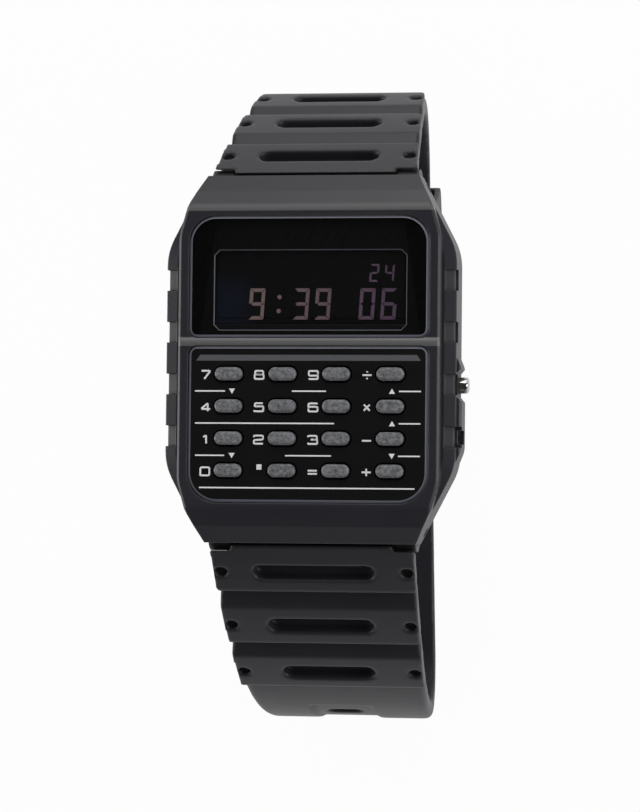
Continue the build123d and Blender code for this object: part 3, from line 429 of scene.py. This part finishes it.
def mouldedStrap(nodeName, body, drawnIn):
    bm = bmesh.new()
    bm.from_mesh(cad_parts[nodeName].data)
    bmesh.ops.remove_doubles(bm, verts=bm.verts, dist=0.000001)
    bmesh.ops.scale(bm, vec=(drawnIn, 1, 1), verts=bm.verts)
    mesh = bpy.data.meshes.new(nodeName + "_moulded")
    bm.to_mesh(mesh)
    surface = BVHTree.FromBMesh(bm)
    bm.free()
    holder = bpy.data.objects.new(nodeName + "Holder", mesh)
    bpy.context.scene.collection.objects.link(holder)
    remesh = holder.modifiers.new("Remesh", "REMESH")
    remesh.mode, remesh.voxel_size = "VOXEL", moulded["voxel"]
    soften = holder.modifiers.new("Soften", "SMOOTH")
    soften.factor, soften.iterations = moulded["soften"], moulded["passes"]
    thin = holder.modifiers.new("Thin", "DECIMATE")
    thin.decimate_type, thin.ratio = "COLLAPSE", moulded["flatten"]
    softened = bpy.data.meshes.new_from_object(holder.evaluated_get(bpy.context.evaluated_depsgraph_get()))
    bpy.data.objects.remove(holder)
    # the lugs beside the case keep their exact shape: softened, they would touch it at rest
    if body.startswith("strap"):
        for vertex in softened.vertices:
            if abs(vertex.co.y) < moulded["crispWithin"]:
                vertex.co = surface.find_nearest(vertex.co)[0]
    inward = [vertex.normal * moulded["tuck"] for vertex in softened.vertices]
    for vertex, step in zip(softened.vertices, inward):
        vertex.co -= step
    for face in softened.polygons:
        face.use_smooth = True
    piece = finishPiece(softened, nodeName + "_moulded", "strapResin", body)
    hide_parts(nodeName)
    print(nodeName, "moulded:", len(softened.polygons), "faces")


for nodeName, (body, drawnIn) in moulded["pieces"].items():
    mouldedStrap(nodeName, body, drawnIn)

# the key mat: a sheet, and a dome under each key
mat = {"domeHeight": 0.0009, "domeReach": 0.0013, "cutAbove": 0.00001, "pressed": 0.46}


def cutMat(name, above, centre=None):
    bm = bmesh.new()
    bm.from_mesh(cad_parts["key_mat"].data)
    bmesh.ops.remove_doubles(bm, verts=bm.verts, dist=0.000001)
    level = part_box("key_mat")[1][2] - mat["domeHeight"] + mat["cutAbove"]
    bmesh.ops.bisect_plane(bm, geom=bm.verts[:] + bm.edges[:] + bm.faces[:], dist=0.0000001,
                           plane_co=(0, 0, level), plane_no=(0, 0, 1), clear_outer=not above, clear_inner=above)
    if centre:
        far = [v for v in bm.verts if (v.co.xy - centre.xy).length > mat["domeReach"]]
        bmesh.ops.delete(bm, geom=far, context="VERTS")
    bmesh.ops.holes_fill(bm, edges=[e for e in bm.edges if e.is_boundary])
    bmesh.ops.recalc_face_normals(bm, faces=bm.faces)
    mesh = bpy.data.meshes.new(name)
    bm.to_mesh(mesh)
    bm.free()
    return finishPiece(mesh, name, "matRubber", "case"), level


sheet, matLevel = cutMat("key_mat_sheet", False)
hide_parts("key_mat")
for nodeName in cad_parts:
    if nodeName.startswith("key_") and nodeName != "key_mat":
        low, high = (Vector(corner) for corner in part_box(nodeName))
        middle, keyName = (low + high) / 2, nodeName[4:]
        dome, _ = cutMat("dome_" + keyName, True, middle)
        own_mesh(dome)

# the pushers' springs
for side in ("mode", "adjust"):
    low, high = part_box(side + "_spring")
    middle = [(low[1] + high[1]) / 2, (low[2] + high[2]) / 2]
    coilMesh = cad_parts[side + "_spring"].data.copy()
    coil = finishPiece(coilMesh, side + "_spring_coil", "smallSteel", None)
    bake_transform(coil)
    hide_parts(side + "_spring")
print("key mat's domes and pusher springs placed")

# keypad markings
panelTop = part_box("keypad_panel")[1][2] / mm
keypad = {
    "printThick": 0.02, "figureWidth": 1.08, "figureHeight": 0.94, "stroke": 0.22, "corner": 0.42,
    "lineHeight": 0.16, "arrowSize": 0.72, "point": (0.6, 0.62), "pointAt": (-5.66, -12.77),
    "columns": (-12.09, -5.76, 0.66, 7.0), "rows": (-2.02, -5.80, -9.58, -13.32),
    "figures": "789/456x123-0.=+",
    # lines between the rows, from and to in X and their place in Y, in millimetres
    "lines": [(-13.38, -9.8, -3.9), (-1.85, 2.17, -3.9), (10.76, 13.34, -3.9), (-13.34, 3.16, -7.66),
              (10.76, 13.3, -7.66), (-13.29, -9.83, -11.43), (-2.59, 2.84, -11.43), (10.72, 13.29, -11.43),
              (-12.77, 12.68, -15.2)],
    # arrows' middles, pointing up where the last number is 1 and down where it is -1
    "arrows": [(-8.97, -3.9, -1), (9.94, -3.9, 1), (9.98, -7.66, 1), (-8.93, -11.43, -1), (9.97, -11.43, -1)],
    "header": [(-12.8, 0.34), (-13.27, -0.35), (13.3, -0.35), (12.85, 0.34)],
}
# each figure's strokes in a box one wide and one high; a stroke that ends where it starts is a loop
strokes = {
    "0": [((0, 0), (1, 0), (1, 1), (0, 1), (0, 0))],
    "1": [((0.28, 0.8), (0.6, 1), (0.6, 0))],
    "2": [((0, 0.8), (0, 1), (1, 1), (1, 0.52), (0, 0.44), (0, 0), (1, 0))],
    "3": [((0, 0.84), (0, 1), (0.95, 1), (0.95, 0.53), (0.3, 0.53)),
          ((0.6, 0.53), (1, 0.53), (1, 0), (0, 0), (0, 0.16))],
    "4": [((0.74, 0), (0.74, 1), (0, 0.27), (1, 0.27))],
    "5": [((0.94, 1), (0.08, 1), (0.03, 0.6), (1, 0.62), (1, 0), (0, 0), (0, 0.14))],
    "6": [((0, 0.3), (0, 0.58), (1, 0.58), (1, 0), (0, 0), (0, 0.4)), ((0, 0.3), (0, 1), (0.93, 1), (0.93, 0.88))],
    "7": [((0, 1), (1, 1), (0.32, 0))],
    "8": [((0.5, 0.54), (1, 0.54), (1, 0), (0, 0), (0, 0.54), (0.5, 0.54)),
          ((0.5, 0.54), (0.94, 0.54), (0.94, 1), (0.06, 1), (0.06, 0.54), (0.5, 0.54))],
    "9": [((1, 0.7), (1, 0.42), (0, 0.42), (0, 1), (1, 1), (1, 0.6)), ((1, 0.7), (1, 0), (0.07, 0), (0.07, 0.12))],
    "/": [((0, 0.5), (1, 0.5)), ((0.5, 0.84), (0.5, 0.99)), ((0.5, 0.01), (0.5, 0.16))],
    "x": [((0.17, 0.13), (0.83, 0.87)), ((0.17, 0.87), (0.83, 0.13))],
    "-": [((0, 0.42), (1, 0.42))],
    "=": [((0, 0.28), (1, 0.28)), ((0, 0.66), (1, 0.66))],
    "+": [((0, 0.5), (1, 0.5)), ((0.5, 0.06), (0.5, 0.94))],
}


def roundedPath(points, width, height, corner):
    # the stroke in millimetres, with a point each side of every corner for the spline to round
    scaled = [Vector((x * width, y * height, 0)) for x, y in points]
    path = [scaled[0]]
    for before, here, after in zip(scaled, scaled[1:], scaled[2:]):
        reachBack, reachOn = (min(corner, side.length * 0.49) for side in (before - here, after - here))
        path += [here + (before - here).normalized() * reachBack, here,
                 here + (after - here).normalized() * reachOn]
    return path + [scaled[-1]]


def printFigure(figure, x, y, name):
    curve = bpy.data.curves.new(name, "CURVE")
    curve.dimensions = "3D"
    curve.bevel_depth, curve.bevel_resolution = keypad["stroke"] / 2, 2
    curve.resolution_u, curve.use_fill_caps = 6, True
    for points in strokes[figure]:
        path = roundedPath(points, keypad["figureWidth"], keypad["figureHeight"], keypad["corner"])
        spline = curve.splines.new("NURBS")
        spline.points.add(len(path) - 1)
        for spot, point in zip(spline.points, path):
            spot.co = (point.x, point.y, 0, 1)
        spline.order_u, spline.use_endpoint_u = 3, True
    holder = bpy.data.objects.new(name + "Curve", curve)
    bpy.context.scene.collection.objects.link(holder)
    mesh = bpy.data.meshes.new_from_object(holder.evaluated_get(bpy.context.evaluated_depsgraph_get()))
    bpy.data.objects.remove(holder)
    flat = keypad["printThick"] / keypad["stroke"]
    place = Matrix.Translation(((x - keypad["figureWidth"] / 2) * mm, (y - keypad["figureHeight"] / 2) * mm,
                                (panelTop + keypad["printThick"] / 2) * mm))
    mesh.transform(place @ Matrix.Diagonal((mm, mm, mm * flat, 1.0)))
    return finishPiece(mesh, name, "legendWhite", "case")


for place, figure in enumerate(keypad["figures"]):
    row, column = divmod(place, 4)
    if figure in strokes:
        printFigure(figure, keypad["columns"][column], keypad["rows"][row], "legend_%02d" % place)
marks = [bar(x0, x1, y, keypad["lineHeight"]) for x0, x1, y in keypad["lines"]]
half = keypad["arrowSize"] / 2
for x, y, way in keypad["arrows"]:
    marks.append([(x - half, y - way * half * 0.8), (x + half, y - way * half * 0.8), (x, y + way * half * 0.9)])
pointX, pointY = keypad["pointAt"]
pointWidth, pointHeight = keypad["point"]
marks.append(bar(pointX - pointWidth / 2, pointX + pointWidth / 2, pointY, pointHeight))
plates(marks, panelTop, keypad["printThick"], "keypad_lines", "legendWhite", "case")
plates([keypad["header"]], panelTop, keypad["printThick"], "keypad_header", "legendGrey", "case")
print("keypad printed")

# display figures
display = {
    "bigWidth": 1.82, "bigHeight": 3.66, "bar": 0.41, "smallWidth": 1.1, "smallHeight": 2.1, "smallBar": 0.24,
    "lean": 0.065, "low": 4.55, "smallLow": 8.95, "thick": 0.02, "gap": 0.05, "smallGap": 0.03,
    # each figure with its left edge in X, and the two round dots between hours and minutes
    "figures": (("9", -7.43), ("3", -2.16), ("9", 0.42), ("0", 5.66), ("6", 8.22)),
    "smallFigures": (("2", 6.9), ("4", 8.7)),
    "dots": ((-3.80, 5.55), (-3.70, 7.2)), "dot": 0.26, "dotSides": 16,
}
segmentsOf = {"0": "abcdef", "1": "bc", "2": "abged", "3": "abgcd", "4": "fgbc", "5": "afgcd", "6": "afgedc",
              "7": "abc", "8": "abcdefg", "9": "abcdfg"}


def figureOutlines(figure, x, y, width, height, thick, gap):
    # the lit segments of one seven-segment figure whose lower left corner is at x, y
    half, middle = thick / 2, height / 2
    outlines = []
    for letter in segmentsOf[figure]:
        if letter == "g":
            points = [(gap + half, middle), (gap + thick, middle - half), (width - gap - thick, middle - half),
                      (width - gap - half, middle), (width - gap - thick, middle + half),
                      (gap + thick, middle + half)]
        elif letter in "ad":
            points = [(gap, 0), (width - gap, 0), (width - gap - thick, thick), (gap + thick, thick)]
            points = points if letter == "d" else [(px, height - py) for px, py in points]
        else:
            points = [(0, gap), (thick, gap + thick), (thick, middle - gap - half), (half, middle - gap),
                      (0, middle - gap)]
            points = points if letter in "ec" else [(px, height - py) for px, py in points]
            points = points if letter in "ef" else [(width - px, py) for px, py in points]
        outlines.append([(x + px + display["lean"] * py, y + py) for px, py in points])
    return outlines


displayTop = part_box("lcd_polariser")[1][2] / mm
figures = []
for figure, x in display["figures"]:
    figures += figureOutlines(figure, x, display["low"], display["bigWidth"], display["bigHeight"],
                              display["bar"], display["gap"])
for figure, x in display["smallFigures"]:
    figures += figureOutlines(figure, x, display["smallLow"], display["smallWidth"], display["smallHeight"],
                              display["smallBar"], display["smallGap"])
turns = [math.tau * step / display["dotSides"] for step in range(display["dotSides"])]
for x, y in display["dots"]:
    figures.append([(x + display["dot"] * math.cos(turn), y + display["dot"] * math.sin(turn)) for turn in turns])
plates(figures, displayTop, display["thick"], "display_figures", "segmentBrown", "case")
print("display figures set")


# floor, light and camera
studio = {
    "floorSize": 3.0, "floorGap": 0.00005, "floorWhite": 0.96, "floorMirrored": 0.4,
    "fill": 0.35, "mirroredTop": 0.035, "mirroredLow": 0.22,
    # each lamp: degrees from overhead, degrees round from +X, distance and side in metres, watts
    "lamps": {"topLamp": (50, 90, 0.6, 0.25, 0.91), "farLamp": (75, 90, 0.6, 0.25, 0.43),
              "rightLamp": (70, 0, 0.6, 0.25, 1.15), "leftLamp": (86, 180, 0.6, 0.25, 1.8),
              "lowLamp": (75, 270, 0.6, 0.25, 0.08)},
}


def stageFinish():
    finish = Finish("studioFloor")
    finish.put(Base_Color=grey(0.92), Roughness=0.9)
    seen = finish.node("ShaderNodeLightPath", {}, {}, "Is Camera Ray")
    mirrored = finish.node("ShaderNodeLightPath", {}, {}, "Is Glossy Ray")
    through = finish.node("ShaderNodeLightPath", {}, {}, "Is Transmission Ray")
    glow = finish.node("ShaderNodeEmission", {}, {"Color": grey(1.0), "Strength": 1.0})
    shown = (seen * studio["floorWhite"] + (mirrored + through) * studio["floorMirrored"]).clamp()
    mixed = finish.node("ShaderNodeMixShader", {}, {0: shown, 1: Wire(finish, finish.surface.outputs[0]), 2: glow})
    finish.feed(finish.tree.nodes["Material Output"].inputs["Surface"], mixed)
    return finish.material


bm = bmesh.new()
bmesh.ops.create_grid(bm, x_segments=2, y_segments=2, size=studio["floorSize"] / 2)
bmesh.ops.translate(bm, vec=(0, 0, cadLow[2] - studio["floorGap"]), verts=bm.verts)
floorMesh = bpy.data.meshes.new("studioFloor")
bm.to_mesh(floorMesh)
bm.free()
floorMesh.materials.append(stageFinish())
floor = bpy.data.objects.new("studioFloor", floorMesh)
bpy.context.scene.collection.objects.link(floor)
floor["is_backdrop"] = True

world = bpy.data.worlds.new("studioSky")
bpy.context.scene.world = world
world.use_nodes = True
sky = Wiring(world.node_tree)
background = world.node_tree.nodes["Background"]
facing = sky.node("ShaderNodeTexCoord", {}, {}, "Generated")
height = sky.node("ShaderNodeSeparateXYZ", {}, {"Vector": facing}, 2)
glow = sky.node("ShaderNodeMapRange", {"interpolation_type": "SMOOTHSTEP"},
                {"Value": height, "From Min": 0.02, "From Max": 0.12, "To Min": studio["mirroredLow"],
                 "To Max": studio["mirroredTop"]})
seen = sky.node("ShaderNodeLightPath", {}, {}, "Is Camera Ray")
through = sky.node("ShaderNodeLightPath", {}, {}, "Is Transmission Ray")
mirrored = sky.node("ShaderNodeLightPath", {}, {}, "Is Glossy Ray")
shown = (seen + through).clamp()
sky.feed(background.inputs["Color"], (1, 1, 1, 1))
sky.feed(background.inputs["Strength"], shown + (1 - shown) * (mirrored * glow + (1 - mirrored) * studio["fill"]))

for name, (tilt, bearing, distance, side, power) in studio["lamps"].items():
    light = bpy.data.lights.new(name, "AREA")
    light.shape, light.size, light.energy = "SQUARE", side, power
    lamp = bpy.data.objects.new(name, light)
    bpy.context.scene.collection.objects.link(lamp)
    tilt, bearing = math.radians(tilt), math.radians(bearing)
    towards = Vector((math.sin(tilt) * math.cos(bearing), math.sin(tilt) * math.sin(bearing), math.cos(tilt)))
    lamp.location = towards * distance
    lamp.rotation_euler = (-towards).to_track_quat("-Z", "Y").to_euler()

# the camera's angles in degrees, and its focal length and centre in pixels of the 640 by 812 picture
camera = {"distance": 0.450, "aim": (0, 0, 0.0082), "across": 9.9, "below": 3.0, "roll": 0.60,
          "focal": 3862.0, "centre": (307.8, 357.7), "picture": (640, 812), "sensor": 36.0}
frameWidth, frameHeight = camera["picture"]
across, below, roll = (math.radians(camera[k]) for k in ("across", "below", "roll"))
towards = Vector((math.sin(across) * math.cos(below), -math.sin(below), math.cos(across) * math.cos(below)))
right = Vector((math.cos(across), 0, -math.sin(across)))
up = towards.cross(right)
rolledRight = right * math.cos(roll) + up * math.sin(roll)
rolledUp = up * math.cos(roll) - right * math.sin(roll)
lens = bpy.data.cameras.new("camera")
lens.sensor_width = camera["sensor"]
lens.lens = camera["focal"] / frameHeight * camera["sensor"]
lens.clip_start = 0.01
lens.shift_x = (frameWidth / 2 - camera["centre"][0]) / frameHeight
lens.shift_y = (camera["centre"][1] - frameHeight / 2) / frameHeight
viewer = bpy.data.objects.new("camera", lens)
bpy.context.scene.collection.objects.link(viewer)
turn = Matrix((rolledRight, rolledUp, towards)).transposed().to_4x4()
viewer.matrix_world = Matrix.Translation(Vector(camera["aim"]) + towards * camera["distance"]) @ turn
bpy.context.scene.camera = viewer
bpy.context.scene.view_settings.view_transform = "Standard"
print("studio and camera set")

low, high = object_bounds()
